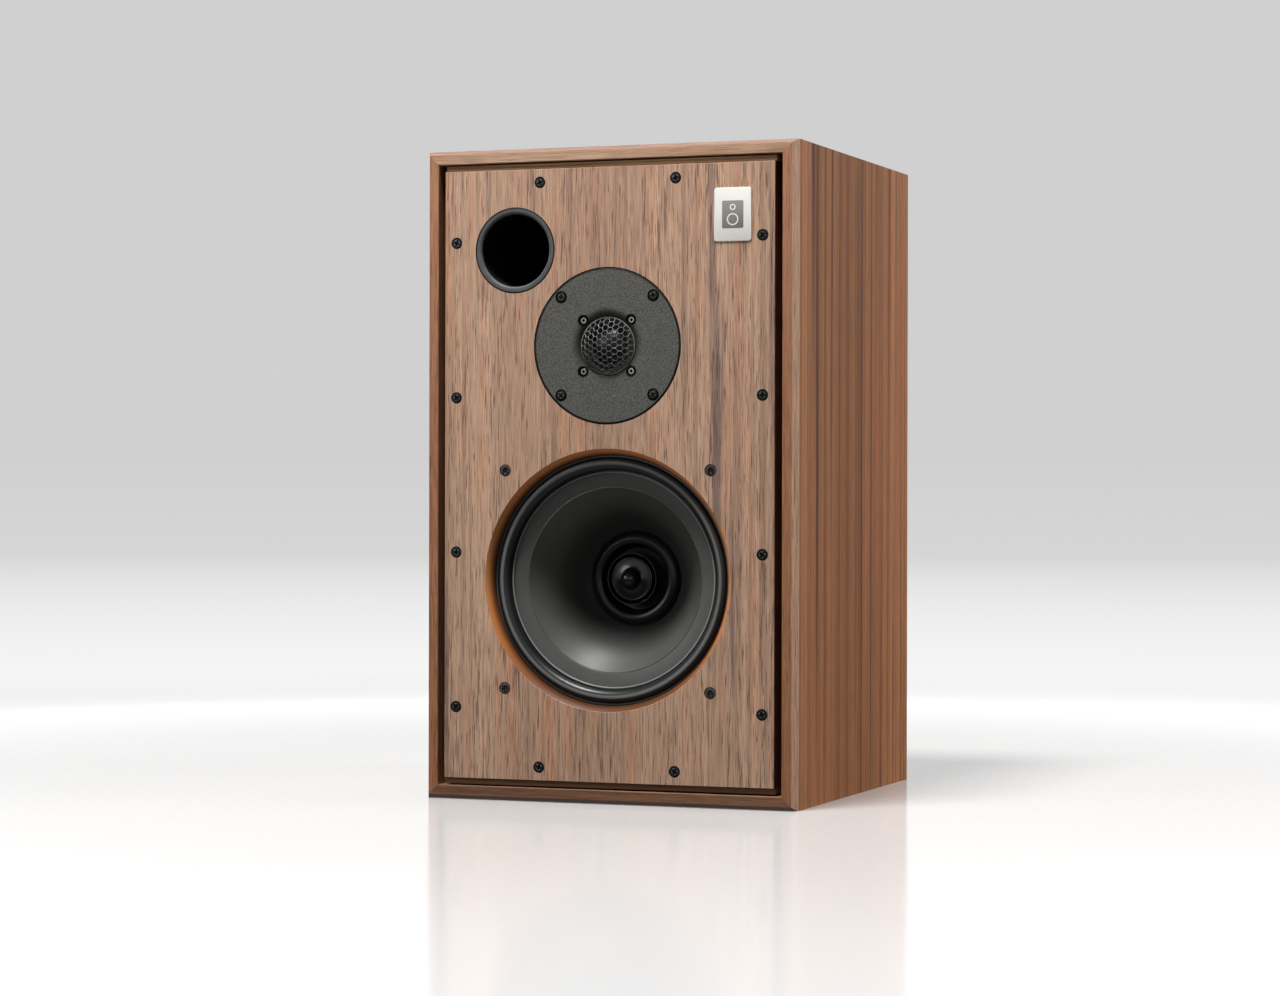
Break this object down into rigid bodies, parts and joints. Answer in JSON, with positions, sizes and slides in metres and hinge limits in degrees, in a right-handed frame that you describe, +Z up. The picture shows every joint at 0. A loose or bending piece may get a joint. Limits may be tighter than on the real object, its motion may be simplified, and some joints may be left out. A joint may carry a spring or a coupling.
{
  "type": "bookshelf speaker",
  "caption": "Wooden bookshelf loudspeaker with a screwed front baffle, cone woofer, domed tweeter behind a mesh guard, round bass port and rear binding posts.",
  "frame": {"origin": "middle of the underside of the cabinet", "axes": "+X to the right seen from the front, -Y out of the front baffle, +Z up"},
  "size_m": [0.277, 0.2944, 0.46],
  "materials": {
    "cabinet_veneer": "open-grain satin walnut veneer",
    "edging_wood": "satin solid walnut",
    "baffle_veneer": "open-grain satin walnut veneer",
    "batten_wood": "sawn beech",
    "rear_veneer": "satin walnut veneer",
    "gasket_foam": "closed-cell foam rubber",
    "black_screw": "black oxide",
    "steel_screw": "bright socket cap",
    "port_plastic": "satin moulding",
    "badge_face": "white enamel, plain pictogram",
    "basket_metal": "black powder coat on a casting",
    "surround_rubber": "glossy synthetic rubber",
    "cone_plastic": "satin moulded polymer",
    "neck_gloss": "glossy moulding",
    "coil_copper": "enamelled copper",
    "spider_cloth": "resin-stiffened cloth",
    "motor_steel": "zinc plated",
    "magnet_ferrite": "sintered ferrite",
    "terminal_plastic": "black moulding",
    "faceplate_paint": "fine textured paint",
    "guard_mesh": "black lacquered mesh",
    "dome_metal": "anodised",
    "tweeter_edge": "coated cloth",
    "board_laminate": "glass-fibre laminate",
    "inductor_winding": "enamelled copper wire",
    "capacitor_case": "film capacitor wrap",
    "resistor_body": "cement block",
    "plated_brass": "gold-coloured plating",
    "knob_red": "red moulding",
    "knob_black": "black moulding",
    "wire_jacket": "PVC-like jacket",
    "damping_sheet": "bituminous sheet",
    "lining_foam": "open-cell foam"
  },
  "bodies": {
    "cabinet": {"badge_plate": "badge_face", "baffle_gasket": "gasket_foam", "baffle_screws": "black_screw", "binding_posts": "plated_brass", "bottom_panel": "cabinet_veneer", "crossover_board": "board_laminate", "crossover_capacitors": "capacitor_case", "crossover_inductors": "inductor_winding", "crossover_resistors": "resistor_body", "crossover_standoffs": "plated_brass", "damping_pads": "damping_sheet", "foam_linings": "lining_foam", "front_baffle": "baffle_veneer", "front_battens": "batten_wood", "front_edging_bottom": "edging_wood", "front_edging_left": "edging_wood", "front_edging_right": "edging_wood", "front_edging_top": "edging_wood", "internal_wires": "wire_jacket", "left_panel": "cabinet_veneer", "port_tube": "port_plastic", "post_nuts": "plated_brass", "rear_battens": "batten_wood", "rear_gasket": "gasket_foam", "rear_panel": "rear_veneer", "rear_panel_screws": "black_screw", "right_panel": "cabinet_veneer", "terminal_plate": "terminal_plastic", "terminal_plate_screws": "black_screw", "top_panel": "cabinet_veneer", "tweeter_back_plate": "motor_steel", "tweeter_faceplate": "faceplate_paint", "tweeter_guard": "guard_mesh", "tweeter_inner_screws": "steel_screw", "tweeter_magnet": "magnet_ferrite", "tweeter_mount_screws": "black_screw", "tweeter_rear_chamber": "terminal_plastic", "tweeter_surround": "tweeter_edge", "tweeter_top_plate": "motor_steel", "woofer_back_plate": "motor_steel", "woofer_basket": "basket_metal", "woofer_bolts": "black_screw", "woofer_gasket": "gasket_foam", "woofer_magnet": "magnet_ferrite", "woofer_nuts": "black_screw", "woofer_phase_plug": "neck_gloss", "woofer_spider": "spider_cloth", "woofer_surround": "surround_rubber", "woofer_terminals": "terminal_plastic", "woofer_top_plate": "motor_steel"},
    "woofer_cone_assembly": {"woofer_cone": "cone_plastic", "woofer_neck_ring": "neck_gloss", "woofer_voice_coil": "coil_copper"},
    "tweeter_dome_assembly": {"tweeter_dome": "dome_metal", "tweeter_voice_coil": "coil_copper"},
    "positive_clamp": {"positive_clamp_washer": "plated_brass"},
    "negative_clamp": {"negative_clamp_washer": "plated_brass"},
    "positive_knob": {"positive_knob": "knob_red"},
    "negative_knob": {"negative_knob": "knob_black"}
  },
  "joints": [
    {"name": "woofer_travel", "type": "slide", "parent": "cabinet", "child": "woofer_cone_assembly", "axis": [0, -1, 0], "range_m": [-0.005, 0.005], "stiffness_N_per_m": 1200, "deforming": ["woofer_surround", "woofer_spider"]},
    {"name": "tweeter_travel", "type": "slide", "parent": "cabinet", "child": "tweeter_dome_assembly", "axis": [0, -1, 0], "range_m": [-0.0005, 0.0005], "stiffness_N_per_m": 4000, "deforming": ["tweeter_surround"]},
    {"name": "positive_clamp_travel", "type": "slide", "parent": "cabinet", "child": "positive_clamp", "axis": [0, 1, 0], "range_m": [0, 0.004]},
    {"name": "positive_knob_turn", "type": "hinge", "parent": "positive_clamp", "child": "positive_knob", "pos_m": [0.0095, 0.1425, 0.11], "axis": [0, 1, 0], "range_deg": [0, 1440.5]},
    {"name": "negative_clamp_travel", "type": "slide", "parent": "cabinet", "child": "negative_clamp", "axis": [0, 1, 0], "range_m": [0, 0.004]},
    {"name": "negative_knob_turn", "type": "hinge", "parent": "negative_clamp", "child": "negative_knob", "pos_m": [-0.0095, 0.1425, 0.11], "axis": [0, 1, 0], "range_deg": [0, 1440.5]}
  ],
  "couplings": [
    {"joint": "positive_knob_turn", "follows": "positive_clamp_travel", "rad_per_m": 6283.2},
    {"joint": "negative_knob_turn", "follows": "negative_clamp_travel", "rad_per_m": 6283.2}
  ]
}
